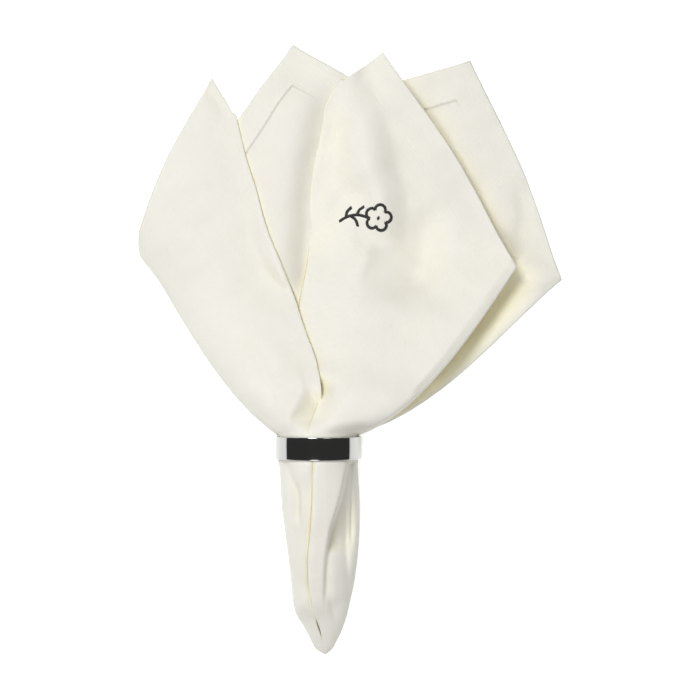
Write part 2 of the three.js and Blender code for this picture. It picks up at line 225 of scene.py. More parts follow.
# Steps by panel: on the left of the line the panel lies higher by height (below zero lower). It comes to
# most of that over slope, starts more gently the more bend is over 1, and is back after reach more.
Step = namedtuple("Step", "panel points slope bend reach height taper", defaults=(CREASE_TAPER,))
DIMPLE_PATH = ((-21, -15), (-25.5, -25), (-30, -32.5), (-31, -41), (-31, -50), (-31, -64))
STEPS = [Step(*row) for row in (
    ("left", DIMPLE_PATH, 8, 1.1, 30, -8.5),
    ("hidden", DIMPLE_PATH, 8, 1.1, 30, -8.5),
    ("second", ((-26.6, 20), (-22.6, 42), (-20.8, 62), (-20.4, 80), (-18.4, 95), (-14.4, 113), (-9, 131),
                (-6, 140)), 9.5, 1.5, 60, 8.0),
    ("third", ((15, 84), (13.6, 70), (12, 60), (10.4, 52), (8.4, 45), (6.4, 38), (2.6, 24.5)),
     23, 1.1, 22, -9.0, 0.4),
    ("third", ((-5, 84), (-3, 72), (0, 60), (3, 46)), 8, 1.3, 14, -4.0),
    ("third", ((16, 88), (7, 92), (-3.4, 88.7), (-11, 80), (-16, 68)), 5, 1.2, 14, -2.4),
    ("third", ((31, 50), (30, 64), (29.5, 80), (25.2, 97.8), (19.5, 118.4), (14, 134), (9, 150), (2, 176)),
     12, 1.3, 22, 5.5),
)]
# Creases of the tail: on one panel, or pressed through all of them
TAIL_CREASES = [Crease(*row) for row in (
    ("left", SEAM_PATH[3:], 9, 4, -2.0),
    ("third", SEAM_PATH, 2, 5, 0.4),
    ("all", ((-25.5, -90), (-26, -81.2), (-25.7, -71.4), (-28, -66.8), (-31.6, -57.9), (-34, -51)),
     2.6, 1.4, -2.4),
    ("all", ((0.6, -134), (0, -128), (-0.4, -120.8), (-1.8, -111.8), (-2.2, -102.9), (-1.9, -93.9),
             (-2.2, -81.2), (-2, -72)), 2.4, 2.0, -1.4),
    ("all", ((0.2, -104), (0.6, -96), (0.5, -36)), 1.0, 1.5, -1.3),
    ("all", ((-7, -132), (-7.7, -125.5), (-9, -96)), 3, 3, 0.8),
    ("all", ((-12, -132), (3, -128)), 3.5, 7, -2.4),
)]
# The tail's right part lies lower than its middle, most of all near the ring
TAIL_FOLD = ((2.5, -36), (-1.5, -56.8), (-3.7, -66.8), (-5.4, -75.9), (-8.2, -84.9), (-10.9, -93),
             (-12.7, -102.9), (-13.6, -111.8), (-14, -126), (-13.5, -136))
TAIL_STEPS = [Step(*row) for row in (
    ("all", TAIL_FOLD[:6] + ((-13, -106),), 0.8, 1.0, 26, -9.0),
    ("all", TAIL_FOLD, 1.0, 1.0, 26, -3.0),
    ("all", TAIL_FOLD[:1] + TAIL_FOLD[1::2], 12, 1.2, 30, -4.0),
)]
# Slight unevenness of the panels that show: wave length, direction in degrees, phase and height
Wave = namedtuple("Wave", "length direction phase height")
WAVES = [Wave(*row) for row in (
    (31, 20, 0.4, 0.26),
    (23, 75, 1.9, 0.20),
    (17, 130, 3.1, 0.16),
    (38, 160, 4.4, 0.28),
    (12, 48, 5.2, 0.09),
    (14, 105, 0.9, 0.10),
)]
SHOWN_PANELS = ("left", "second", "third", "fourth")
UNDER_THIRD = ("second", "hidden", "third_back", "fourth_back")

# Stretches over which the panels come to lie on one another, to the right of the left flap's fold
FLAP_PRESSED = (-11, -1)
FLAP_SETTLED = (-16, -1)
FLAP_TUCKS = (-2, 8)
SECOND_LEAVES_FLAP = (-12, 0)
# The same to the right of the middle roll
ROLL_SETTLED = (1, 32)
ROLL_RIPPLES = (1, 12)
SECOND_MEETS_ROLL = (0, 14)
LID_INSIDE = (2, 8)
LID_LOWERED = (4, 14)
SECOND_HEM_HIDES = (-1, 1)
# The same along Y
FLAP_UNCOVERED = (-31, -23)
TUCK_STARTS = (-24, -14)
SECOND_SETTLES = (0, 20)
FLAP_OVER_SECOND = (12, 28)
SECOND_SINKS = (35, 62)
FLAPS_SETTLE = (36, 56)
THIRD_PARTS = (62, 90)
# The same by other measures
OUT_OF_MOUTH = (0, 3)  # from the mouth on
HEM_THICKENS = (0.70, 0.92)  # share of the way to the hem
LID_FLAT = (0.9, 1)  # share of how far the stack is flat
# How far layers lie apart where they have come to lie on one another
FLAP_LAYERS = {"left": 3.3, "left_back": 1.2}  # above the second panel, in layer gaps
TUCK_DEPTH = 2 * LAYER_GAP  # of the third panel under the left flap
COVER_DEPTH = 3 * LAYER_GAP  # of the left flap's fold under the third panel's, beside the ring
LID_DEPTH = 2  # further down for what the third panel covers
PRESSED_GAP = 0.1  # share of a gap between the third panel and the second, low down
BACK_GAP = 0.4  # share of a gap for the third panel's back, and for its hem's thickness

# How far the hem's sewn side shows on a panel, and on each edge from the first corner on; it also sets how
# strong the seam's painted shade is
SEWN_PANELS = SHOWN_PANELS + ("left_back", "fourth_back", "underside")  # their hems show from some side
SEAM_SHOWS = {"left": 0.1, "second": 1.0, "third": 0.06, "fourth": 1.0}
OTHER_SEAM_SHOWS = 0.5
EDGE_SHOWS = {"first": 1.0, "second": 0.6, "third": 0.9, "fourth": 0.03}
SECOND_EDGE_FADES = (22, 32)  # where the second edge's seam fades, from the second corner on
HEM_STEP = (-1.2, 0.4)  # about the hem's width, where its turned layers end
UNPLEATED = 0.42  # share of a side, from each corner, that keeps its length when laid flat

# Hem stitches
STITCH_INSET = 1.5  # from the hem's inner edge
STITCH_PITCH = 1.3  # in stitch lengths
STITCH_SEAT = 0.95  # share of the half thickness, and of what the hem adds, at which a stitch lies
STITCH_SINK = 0.5  # share of the half thickness that it sinks where the other side is the sewn one
STITCH_FLOOR = 1.5  # stitches that face down below this height aren't made
STITCH_HIDDEN = 0.3  # nor are those of hems hidden further than this
STITCH_PROFILE = (  # share of the way, thickness and lift
    (0.0, 0.35, -0.6),
    (0.2, 0.9, 0.35),
    (0.5, 1.0, 1.0),
    (0.8, 0.9, 0.35),
    (1.0, 0.35, -0.6),
)

# Embroidered sprig on the third panel: strokes along and across its stem, in millimetres
FLOWER_ROOT = (-5.4, 66.8)
FLOWER_HEAD = (14.6, 68.2)
BLOSSOM_RADIUS = 5.6
BLOSSOM_SCALLOP = 0.20
BLOSSOM_PETALS = 5
PETAL_STEPS = 8
PETAL_FULLNESS = 0.7
SATIN_PITCH = 0.36
SATIN_SLANT = math.radians(24)
DROP_HEIGHT = 0.05  # above the part, in metres, for finding the cloth under a stitch
Stroke = namedtuple("Stroke", "name points")
FLOWER_STROKES = [Stroke(*row) for row in (
    ("stem", ((0, 0), (4.5, 2.0), (9.5, 2.4), (15.2, 0.4))),
    ("first_leaf", ((3.4, 1.6), (4.2, 4.4), (6.6, 6.6))),
    ("second_leaf", ((5.8, 2.2), (8.2, 0.0), (9.2, -3.4))),
    ("third_leaf", ((9.2, 2.4), (10.6, 4.8), (13.2, 6.4))),
    ("heart", ((19.6, -0.5), (20.6, 0.1))),
)]

# The weave and the hem's seam in the cotton, in metres
THREAD_PITCH = 0.00062
SLUB_STRETCHES = ((140.0, 1800.0, 1.0), (1800.0, 140.0, 1.0))
SEAM_INSET = 0.0006  # of the seam's line from the hem's inner edge
SEAM_EDGE = (0.0002, 0.0006)  # from that line, where its painted shade and its groove fade
# How much each mark changes the cotton's tone, and its relief; the seam's darker tone is painted shade
PLAIN_TONE = 0.925
SLUB_TONE = 0.055
CLOUD_TONE = 0.05
SEAM_PAINTED_SHADE = 0.20
WEAVE_RELIEF = 0.25
SLUB_RELIEF = 1.3
HEM_RELIEF = 2.2
SEAM_RELIEF = 2.6
# What the grain of the thread and of the metal is multiplied by, and what is added
THREAD_TONE = (0.5, 0.75)
RUBBED_ROUGHNESS = (0.05, 0.04)
RUBBED_STRETCH = (60.0, 2600.0, 60.0)

# The studio, in metres
TABLE_REACH = 3.0
SOFTBOX_SIZE = 0.62
SOFTBOXES = {"key": (-0.40, 0.62, 1.35), "side": (0.60, 0.60, 1.35), "front": (-0.25, -0.78, 1.40)}
ROOM_LIGHT = 0.05


def length(name, description, default):
    """A length that a user can change."""
    return bpy.props.FloatProperty(
        name=name, description=description, default=default, precision=5, unit="LENGTH")


def power(name, description, default):
    """A light's power that a user can change."""
    return bpy.props.FloatProperty(name=name, description=description, default=default, unit="POWER")


def colour(name, description, default):
    """A colour that a user can change."""
    return bpy.props.FloatVectorProperty(
        name=name, description=description, default=default, size=3, subtype="COLOR", min=0, max=1)


class NapkinSizes(bpy.types.PropertyGroup):
    side: length("Side", "Side of the hemmed square", 0.45)
    hem: length("Hem", "Width of the hem", 0.016)
    thickness: length("Thickness", "Thickness of the cloth", 0.00045)
    hem_extra: length("Hem thickness", "What the hem's turned layers add", 0.0004)
    cotton: colour("Cotton", "Colour of the cotton", (0.885, 0.865, 0.79))
    # Painted shade: the colour the cotton is tinted towards deep between its folds, standing in for warm
    # light bounced there, and how near the next fold has to be for it
    painted_fold_shade: colour("Fold shade", "Colour of the cotton deep between its folds", (0.865, 0.80, 0.47))
    painted_shade_reach: length("Fold reach", "How near the next fold has to be to shade the cotton", 0.03)
    stitch: length("Stitch", "Length of a hem stitch", 0.0021)
    satin: length("Satin", "Width of an embroidered stroke", 0.0020)
    floss: colour("Floss", "Colour of the embroidery thread", (0.018, 0.018, 0.016))


class RingSizes(bpy.types.PropertyGroup):
    wall: length("Wall", "Thickness of the band", RING_WALL * MM)
    edge: length("Edge", "Rounding of the band's edges", 0.00035)
    metal: colour("Metal", "Colour of the polished metal", (0.48, 0.48, 0.47))


class StageSizes(bpy.types.PropertyGroup):
    camera_height: length("Camera height", "Height of the camera above the table", 1.0)
    frame_width: length("Frame width", "Width of table that the picture shows", 0.3665)
    key_power: power("Key light", "Power of the softbox on the left", 14.2)
    side_power: power("Side light", "Power of the softbox on the right", 3.0)
    front_power: power("Front light", "Power of the softbox beyond the tail", 8.8)
    table: colour("Table", "Colour of the table top", (0.94, 0.94, 0.935))


def smoothstep(x, low, high):
    share = np.clip((np.asarray(x, float) - low) / (high - low), 0, 1)
    return share * share * (3 - 2 * share)


def mix(a, b, share):
    return a + (b - a) * share


def smooth_curve(knots, values, at):
    """Smooth curve through values at rising knots, read at the places given."""
    knots = np.asarray(knots, float)
    values = np.asarray(values, float)
    slopes = np.gradient(values, knots, axis=0)
    at = np.clip(at, knots[0], knots[-1])
    i = np.clip(np.searchsorted(knots, at) - 1, 0, len(knots) - 2)
    step = knots[i + 1] - knots[i]
    t = (at - knots[i]) / step
    if values.ndim > 1:
        t = t[:, None]
        step = step[:, None]
    rise = values[i + 1] - values[i]
    a = slopes[i] * step - rise
    b = -slopes[i + 1] * step + rise
    return (1 - t) * values[i] + t * values[i + 1] + t * (1 - t) * ((1 - t) * a + t * b)


def along(mouth, low, high, hem, share):
    """Cubic through a line's four places."""
    s = share * 3
    return (
        mouth * (1 - s) * (2 - s) * (3 - s) / 6
        + low * s * (2 - s) * (3 - s) / 2
        + high * s * (s - 1) * (3 - s) / 2
        + hem * s * (s - 1) * (s - 2) / 6
    )


def path_lengths(points):
    """Length of a path up to each of its points."""
    steps = np.linalg.norm(np.diff(points, axis=0), axis=1)
    return np.concatenate(((0,), np.cumsum(steps)))


def path_distance(path, x, y):
    """Distance in plan from points to a path, their side (1 left, -1 right) and share of its way."""
    nearest = np.full(len(x), np.inf)
    side = np.zeros(len(x))
    run = np.zeros(len(x))
    lengths = path_lengths(np.array(path, float))
    for (ax, ay), (bx, by), before, after in zip(path, path[1:], lengths, lengths[1:]):
        span = after - before
        t = np.clip(((x - ax) * (bx - ax) + (y - ay) * (by - ay)) / span ** 2, 0, 1)
        away = np.hypot(x - ax - t * (bx - ax), y - ay - t * (by - ay)) + 1e-9
        beside = ((bx - ax) * (y - ay) - (by - ay) * (x - ax)) / span / away
        closer = away < nearest
        side = np.where(closer, beside, side)
        run = np.where(closer, (before + t * span) / lengths[-1], run)
        nearest = np.minimum(nearest, away)
    return nearest, side, run


class ClothSheet:
    """The napkin's middle surface, as rows from the pinched middle to the hem and columns round it."""

    TAIL_ROWS = 46
    TAIL_CROWDING = 1.25  # over 1, rows lie closer towards the tip
    FAN_ROWS = 66
    FAN_CROWDING = 1.2  # over 1, rows lie closer towards the ring
    HEM_ROWS = 12
    HEM_START = 0.9  # share of the way to the edge at which the hem's own rows start

    def __init__(self, sizes):
        self.half_side = sizes.side / 2 / MM
        self.table = sizes.thickness / 2 / MM
        body = np.linspace(0, 1, self.FAN_ROWS) ** self.FAN_CROWDING * self.HEM_START
        self.share = np.concatenate((body, np.linspace(self.HEM_START, 1, self.HEM_ROWS + 1)[1:]))
        turn = np.linspace(0, 1, self.TAIL_ROWS + 1)[:-1]
        self.tail_y = TIP.y + (MOUTH_Y - TIP.y) * turn ** self.TAIL_CROWDING
        self.line_places = {line.name: self.place(line) for line in LINES}
        self.columns = self.make_columns()
        self.points = self.make_points()
        self.normals = self.make_normals()
        self.flat = self.make_flat()

    def place(self, line):
        """Places of a line in plan, row by row."""
        if line.name in FOLD_PATHS:
            points = np.array(FOLD_PATHS[line.name])
            knots = path_lengths(points)
            return smooth_curve(knots, points, self.share * knots[-1])
        mouth = (RING_X + line.across * BUNDLE_RADIUS, MOUTH_Y)
        pairs = zip(mouth, line.low, line.high, line.hem)
        return np.stack([along(*pair, self.share) for pair in pairs], axis=1)

    def tail_across(self, line):
        """Place of a line in the tail's sections, from -1 to 1."""
        across = np.full(len(self.tail_y), line.across)
        if line.name in SEAM_LINES:
            knots = [seam.y for seam in TAIL_SEAM]
            x = smooth_curve(knots, [seam.x for seam in TAIL_SEAM], self.tail_y)
            gape = np.interp(self.tail_y, knots, [seam.gape for seam in TAIL_SEAM])
            middle, half = self.section("x"), self.section("half")
            followed = (x + SEAM_LINES[line.name] * gape - middle) / half
            across = mix(followed, across, smoothstep(self.tail_y, SEAM_END_Y, MOUTH_Y))
        return across

    def section(self, name):
        """One measure of the tail's sections, row by row."""
        bundle = {"x": RING_X, "half": BUNDLE_RADIUS, "top": RING_Z + BUNDLE_RADIUS, "square": ROUND}
        knots = [section.y for section in SECTIONS] + [ENTRY_Y, MOUTH_Y]
        values = [getattr(section, name) for section in SECTIONS] + [bundle[name]] * 2
        return smooth_curve(knots, values, self.tail_y)

    def fold_columns(self, line, before, panel_before):
        """Columns round a fold, from the panel before it to the one that follows."""
        places = self.line_places[line.name]
        tangent = np.gradient(places, axis=0)
        tangent /= np.linalg.norm(tangent, axis=1, keepdims=True)
        outward = np.stack((tangent[:, 1], -tangent[:, 0]), axis=1) * line.side
        corner = line.name == "left_outline"
        own_turn = line.turn * mix(1, LEFT_CORNER_TURN if corner else TURN_AT_HEM, self.share ** 2)
        drop = LEFT_CORNER_DROP * corner * smoothstep(self.share, *LEFT_CORNER_SPAN)
        turn = mix(TURN_IN_BUNDLE * BUNDLE_RADIUS, own_turn, smoothstep(self.share, 0, TURN_OPENS))
        columns = []
        turns = ROUND_TURNS if line.turn > WIDE_TURN else TIGHT_TURNS
        for i in range(turns + 1):
            angle = math.pi * (0.5 - i / turns)
            inset = 1 - math.cos(angle)
            before_share = (1 + math.sin(angle)) / 2
            fan = places - outward * (turn * inset)[:, None]
            fan[:, 1] -= drop * math.sin(angle)
            columns.append({
                "level": mix(line.level, before, before_share),
                "tail": self.tail_across(line) - line.side * TURN_IN_BUNDLE * inset,
                "fan": fan,
                "panels": ((panel_before, before_share), (line.panel, 1 - before_share)),
            })
        return columns

    def make_columns(self):
        """All columns in order, with the places of the corners among them."""
        groups = []
        for i, line in enumerate(LINES):
            before = LINES[i - 1]
            if line.side not in (LANE, CORNER):
                groups.append(self.fold_columns(line, before.level, before.panel))
            else:
                groups.append([{
                    "level": line.level,
                    "tail": self.tail_across(line),
                    "fan": self.line_places[line.name],
                    "panels": ((line.panel, 1.0),),
                }])
        columns = []
        self.corner_columns = {}
        for i, line in enumerate(LINES):
            if line.side == CORNER:
                self.corner_columns[line.name] = len(columns)
            columns.extend(groups[i])
            columns.extend(self.panel_columns(groups, i))
        return columns

    def panel_columns(self, groups, i):
        """Columns between a line and the next, smooth over lanes and sharp at corners and folds."""
        line, after = LINES[i], LINES[(i + 1) % len(LINES)]
        start, end = groups[i][-1], groups[(i + 1) % len(LINES)][0]
        span = np.linalg.norm(end["fan"] - start["fan"], axis=1)[:, None] + 1e-6
        chord = (end["fan"] - start["fan"]) / span
        outer_columns = (groups[i - 1][-1], groups[(i + 2) % len(LINES)][0])
        slopes = []
        for lane, here, outer in zip((line, after), (i, i + 1), outer_columns):
            if lane.side != LANE:
                slopes.append(chord)
                continue
            middle = groups[here % len(LINES)][0]["fan"]
            other = (middle - outer["fan"]) * (1 if lane is line else -1)
            reach = np.linalg.norm(other, axis=1)[:, None] + 1e-6
            slopes.append((other / reach * span + chord * reach) / (span + reach))
        made = []
        for step in range(1, line.steps + 1):
            t = step / (line.steps + 1)
            bow = t * (1 - t) * span * ((1 - t) * (slopes[0] - chord) - t * (slopes[1] - chord))
            made.append({
                "level": mix(start["level"], end["level"], t),
                "tail": mix(start["tail"], end["tail"], t),
                "fan": mix(start["fan"], end["fan"], t) + bow,
                "panels": ((line.panel, 1.0),),
            })
        return made

    def round_height(self, across, level, low, top, square):
        """Height of a level in a rounded section of the bundle."""
        roundness = np.clip(1 - np.abs(across) ** square, 0, 1) ** (1 / square)
        return (top + low) / 2 + (top - low) / 2 * roundness * (2 * level / TOP_LEVEL - 1)

    def relief(self, panels, x, y, creases):
        """Height that creases, steps and waves add to a column of the panels given, by their shares."""
        total = np.zeros(len(x))
        for panel, share in panels:
            for crease in creases:
                if panel in (crease.panel, crease.panel + "_back"):
                    away, side, run = path_distance(crease.points, x, y)
                    if isinstance(crease, Step):
                        inside = np.where(side > 0, away, 0)
                        sinks = smoothstep(inside, crease.slope, crease.slope + crease.reach)
                        form = np.tanh((inside / crease.slope) ** crease.bend) * (1 - sinks)
                    else:
                        form = np.exp(-(away / mix(crease.right, crease.left, 0.5 + 0.5 * side)) ** 2)
                    taper = smoothstep(np.minimum(run, 1 - run), 0, crease.taper)
                    total += share * crease.height * taper * form
            if panel in SHOWN_PANELS:
                # the length of its name sets a panel's waves apart from the others'
                for wave in WAVES:
                    turn = math.radians(wave.direction)
                    run = (x * math.cos(turn) + y * math.sin(turn)) / wave.length
                    total += share * wave.height * np.sin(2 * math.pi * run + wave.phase + len(panel))
        return total

    def fold_distances(self, x, y):
        """How far points lie to the right of the left flap's fold and of the middle roll."""
        folds = (self.line_places[name] for name in FOLD_PATHS)
        return [x - np.interp(y, fold[:, 1], fold[:, 0]) for fold in folds]

    def second_height(self, x, y, stack):
        """Height of the second panel, which comes up between the two flaps."""
        past_flap, past_roll = self.fold_distances(x, y)
        beside_roll = 1 - smoothstep(past_roll, *SECOND_MEETS_ROLL)
        gap = smoothstep(past_flap, *SECOND_LEAVES_FLAP) * beside_roll * smoothstep(y, *SECOND_SETTLES)
        level = next(line.level for line in LINES if line.panel == "second")
        up_to_flaps = (TOP_LEVEL - level) * stack - COVER_DEPTH
        rise = mix(up_to_flaps, SECOND_RISE, smoothstep(y, *SECOND_SINKS))
        relief = self.relief((("second", 1.0),), x, y, CREASES + STEPS)
        return self.table + level * stack + rise * gap + relief

    def settle(self, z, panels, x, y, pitch, stack):
        """Lets the flaps and the panels between them lie on one another near their folds."""
        past_flap, past_roll = self.fold_distances(x, y)
        by_flap = smoothstep(past_flap, *FLAP_PRESSED)
        near_flap = smoothstep(past_flap, *FLAP_SETTLED)
        by_roll = 1 - smoothstep(past_roll, *ROLL_SETTLED)
        thick_hem = smoothstep(self.share, *HEM_THICKENS)
        high = smoothstep(y, *FLAPS_SETTLE)
        out = smoothstep(y - MOUTH_Y, *OUT_OF_MOUTH)
        tucked = (1 - smoothstep(past_flap, *FLAP_TUCKS)) * smoothstep(y, *TUCK_STARTS) * (1 - high)
        covered = by_flap * (1 - smoothstep(y, *FLAP_UNCOVERED)) * out
        base = self.second_height(x, y, stack)
        pressed = (pitch - LAYER_GAP) * out
        ripple = self.relief((("third", 1.0),), x, y, CREASES + STEPS) * smoothstep(past_roll, *ROLL_RIPPLES)
        gap = LAYER_GAP * mix(PRESSED_GAP, 1, smoothstep(y, *THIRD_PARTS))
        third = base + (1 + BACK_GAP * thick_hem) * gap + ripple
        third_back = base + BACK_GAP * gap + ripple
        flap = {panel: base + layers * LAYER_GAP for panel, layers in FLAP_LAYERS.items()}
        free_back = z + pressed * by_flap - COVER_DEPTH * covered
        settled = {
            "second": mix(z, base, smoothstep(y, *SECOND_SETTLES)),
            "third": mix(z - TUCK_DEPTH * tucked, third, by_roll * high),
            "third_back": mix(z + pressed * by_roll - TUCK_DEPTH * tucked, third_back, by_roll * high),
            "left": mix(z - COVER_DEPTH * covered, flap["left"], near_flap * high),
            "left_back": mix(free_back, flap["left_back"], near_flap * high),
        }
        over_second = near_flap * smoothstep(y, *FLAP_OVER_SECOND)
        for panel, lowest in flap.items():
            settled[panel] = mix(settled[panel], np.maximum(settled[panel], lowest), over_second)
        return sum(share * settled.get(panel, z) for panel, share in panels)

    def make_points(self):
        """Place of each row of each column, the tail's rows first."""
        lifted = mix(self.table, RING_Z - BUNDLE_RADIUS, smoothstep(self.tail_y, *TAIL_LIFTS))
        low = np.maximum(self.table, lifted)
        middle, half, top, square = (self.section(name) for name in ("x", "half", "top", "square"))
        out_of_ring = 1 - smoothstep(self.tail_y, *TAIL_CREASES_CLOSE)
        fade = out_of_ring * smoothstep(self.tail_y, *TAIL_CREASES_OPEN)
        pressed_through = TAIL_CREASES + TAIL_STEPS
        rows = []
        for column in self.columns:
            x = middle + column["tail"] * half
            z = self.round_height(column["tail"], column["level"], low, top, square)
            ceiling = self.round_height(column["tail"], TOP_LEVEL, low, top, square)
            pressed = self.relief((("all", 1.0),), x, self.tail_y, pressed_through) * fade
            share = np.maximum(pressed / np.maximum(ceiling - low, LEAST_HEIGHT), DEEPEST_PRESS)
            z = low + (z - low) * (1 + share)
            z = z + self.relief(column["panels"], x, self.tail_y, TAIL_CREASES) * fade
            tail = np.stack((x, self.tail_y, z), axis=1)
            rows.append(np.concatenate((tail, self.fan_points(column))))
        return np.stack(rows, axis=1)

    def fan_points(self, column):
        """Place of a column's rows beyond the ring."""
        x, y = column["fan"].T
        beside = np.maximum(0, np.abs(x - RING_X) - BUNDLE_RADIUS)
        distance = np.hypot(beside, y - MOUTH_Y)
        swollen = BUNDLE_RADIUS + MOUTH_SWELL * smoothstep(distance, 0, SWELL_REACH)
        across = column["tail"][-1]
        round_z = self.round_height(across, column["level"], RING_Z - swollen, RING_Z + swollen, ROUND)
        stack = mix(STACK_AT_MOUTH, STACK_AT_CORNERS, smoothstep(distance, 0, STACK_REACH))
        flat_z = self.table + column["level"] * stack
        flattened = smoothstep(distance, 0, MOUTH_BLEND)
        z = mix(round_z, flat_z, flattened)
        z = z + self.relief(column["panels"], x, y, CREASES + STEPS) * smoothstep(distance, *CREASES_OPEN)
        pitch = mix(2 * swollen / TOP_LEVEL, stack, flattened)
        z = self.settle(z, column["panels"], x, y, pitch, stack)
        z = self.tuck_under_third(z, column, x, y, pitch, stack, flattened)
        return np.stack((x, y, np.maximum(z, self.table)), axis=1)

    def tuck_under_third(self, z, column, x, y, pitch, stack, flattened):
        """Keeps the layers that the third panel covers below it."""
        if not any(name in UNDER_THIRD for name, _ in column["panels"]):
            return z
        third = (("third", 1.0),)
        top = self.table + TOP_LEVEL * stack + self.relief(third, x, y, CREASES + STEPS)
        top = self.settle(top, third, x, y, pitch, stack)
        past_roll = self.fold_distances(x, y)[1]
        lowered = LID_DEPTH * smoothstep(past_roll, *LID_LOWERED)
        lid = top - (TOP_LEVEL - column["level"]) * LAYER_GAP - lowered
        inside = smoothstep(past_roll, *LID_INSIDE) * smoothstep(flattened, *LID_FLAT)
        return mix(z, np.minimum(z, lid), inside)

    def make_normals(self):
        around = np.roll(self.points, -1, axis=1) - np.roll(self.points, 1, axis=1)
        outward = np.gradient(self.points, axis=0)
        normals = np.cross(around, outward)
        return normals / (np.linalg.norm(normals, axis=2, keepdims=True) + 1e-9)

    def make_flat(self):
        """Where each point lay on the flat square, in millimetres from its middle."""
        hem = self.points[-1]
        count = len(hem)
        side = 2 * self.half_side
        corners = [self.corner_columns[line.name] for line in LINES if line.side == CORNER]
        square = np.array(((-1, 1), (1, 1), (1, -1), (-1, -1)), float) * self.half_side
        flat_hem = np.zeros((count, 2))
        for i, start in enumerate(corners):
            end = corners[(i + 1) % 4]
            run = np.arange(start, end if end > start else end + count) % count
            lengths = path_lengths(hem[np.append(run, end)])
            near = UNPLEATED * lengths[-1]
            knots = (0, near, lengths[-1] - near, lengths[-1])
            flat_lengths = np.interp(lengths[:-1], knots, (0, near, side - near, side))
            flat_hem[run] = square[i] + (square[(i + 1) % 4] - square[i]) * (flat_lengths / side)[:, None]
        steps = np.linalg.norm(np.diff(self.points, axis=0), axis=2)
        reach = np.concatenate((np.zeros((1, count)), np.cumsum(steps, axis=0)))
        return flat_hem[None] * (reach / reach[-1])[:, :, None]

    def hem_distance(self):
        """How far each point is from the flat square's edge."""
        return self.half_side - np.abs(self.flat).max(axis=2)

    def panel_shares(self, value):
        """What a panel's name gives, mixed for each column by its panels' shares."""
        return np.array([sum(share * value(name) for name, share in column["panels"])
                         for column in self.columns])

    def hem_shows(self):
        """How far each point's hem can be seen and felt, from 0 for a hidden layer to 1."""
        shown = self.panel_shares(lambda name: name in SEWN_PANELS)
        second = np.array([column["panels"][0][0] == "second" for column in self.columns])
        past_roll = self.fold_distances(self.points[:, :, 0], self.points[:, :, 1])[1]
        return shown * np.where(second, 1 - smoothstep(past_roll, *SECOND_HEM_HIDES), 1)

    def seam_shows(self):
        """How far the hem's sewn side shows at each point, from 0 to 1; it also scales the painted seam
        shade.
        """
        panel = self.panel_shares(lambda name: SEAM_SHOWS.get(name, OTHER_SEAM_SHOWS))
        u, v = self.flat[:, :, 0], self.flat[:, :, 1]
        by_corner = 1 - smoothstep(self.half_side - v, *SECOND_EDGE_FADES)
        beside = np.where(u > 0, EDGE_SHOWS["second"] * by_corner, EDGE_SHOWS["fourth"])
        across = np.where(v > 0, EDGE_SHOWS["first"], EDGE_SHOWS["third"])
        return panel * np.where(np.abs(u) > np.abs(v), beside, across)


def new_piece(name, vertices, faces):
    mesh = bpy.data.meshes.new(name)
    mesh.from_pydata([tuple(v) for v in vertices], [], faces)
    mesh.validate()
    mesh.polygons.foreach_set("use_smooth", [True] * len(mesh.polygons))
    piece = bpy.data.objects.new(name, mesh)
    bpy.context.scene.collection.objects.link(piece)
    return piece


def cloth_mesh(sheet, sizes):
    """Both faces of the cloth, its hem edge and the closed tip."""
    rows, count, _ = sheet.points.shape
    hem_ends = [sizes.hem / MM + step for step in HEM_STEP]
    turned = 1 - smoothstep(sheet.hem_distance(), *hem_ends)
    extra = sizes.hem_extra / MM * turned * sheet.hem_shows()
    shows = sheet.seam_shows()
    half = sizes.thickness / MM / 2 * smoothstep(sheet.points[:, :, 1], *TIP_THIN)
    outer = sheet.points + sheet.normals * (half + extra * shows)[:, :, None]
    inner = sheet.points - sheet.normals * (half + extra * (1 - shows))[:, :, None]
    outer[:, :, 2] = np.maximum(outer[:, :, 2], 0)
    inner[:, :, 2] = np.maximum(inner[:, :, 2], 0)
    tip = np.array(((TIP.x, TIP.y - TIP_LENGTH, TIP_HEIGHT), (TIP.x, TIP.y, TIP_HEIGHT)))
    vertices = np.concatenate((outer.reshape(-1, 3), inner.reshape(-1, 3), tip)) * MM
    here = np.arange(rows * count).reshape(rows, count)
    ahead = np.roll(here, -1, axis=1)
    a, b, c, d = here[:-1], ahead[:-1], ahead[1:], here[1:]
    shift = rows * count
    faces = np.stack((a, b, c, d), axis=2).reshape(-1, 4).tolist()
    faces += (np.stack((b, a, d, c), axis=2).reshape(-1, 4) + shift).tolist()
    hem, hem_ahead = here[-1], ahead[-1]
    faces += np.stack((hem, hem_ahead, hem_ahead + shift, hem + shift), axis=1).tolist()
    first, first_ahead = here[0].tolist(), ahead[0].tolist()
    faces += [[2 * shift, j, i] for i, j in zip(first, first_ahead)]
    faces += [[2 * shift + 1, i + shift, j + shift] for i, j in zip(first, first_ahead)]
    piece = new_piece("napkin_cloth", vertices, faces)
    flat = np.concatenate((sheet.flat.reshape(-1, 2), sheet.flat.reshape(-1, 2), np.zeros((2, 2)))) * MM
    shown = np.concatenate((shows.ravel(), 1 - shows.ravel(), np.zeros(2)))
    corners = np.zeros(len(piece.data.loops), int)
    piece.data.loops.foreach_get("vertex_index", corners)
    for name, values in (("flat_cloth", flat), ("sewn_side", np.stack((shown, shown), axis=1))):
        layer = piece.data.uv_layers.new(name=name)
        layer.data.foreach_set("uv", values[corners].ravel())
    return piece


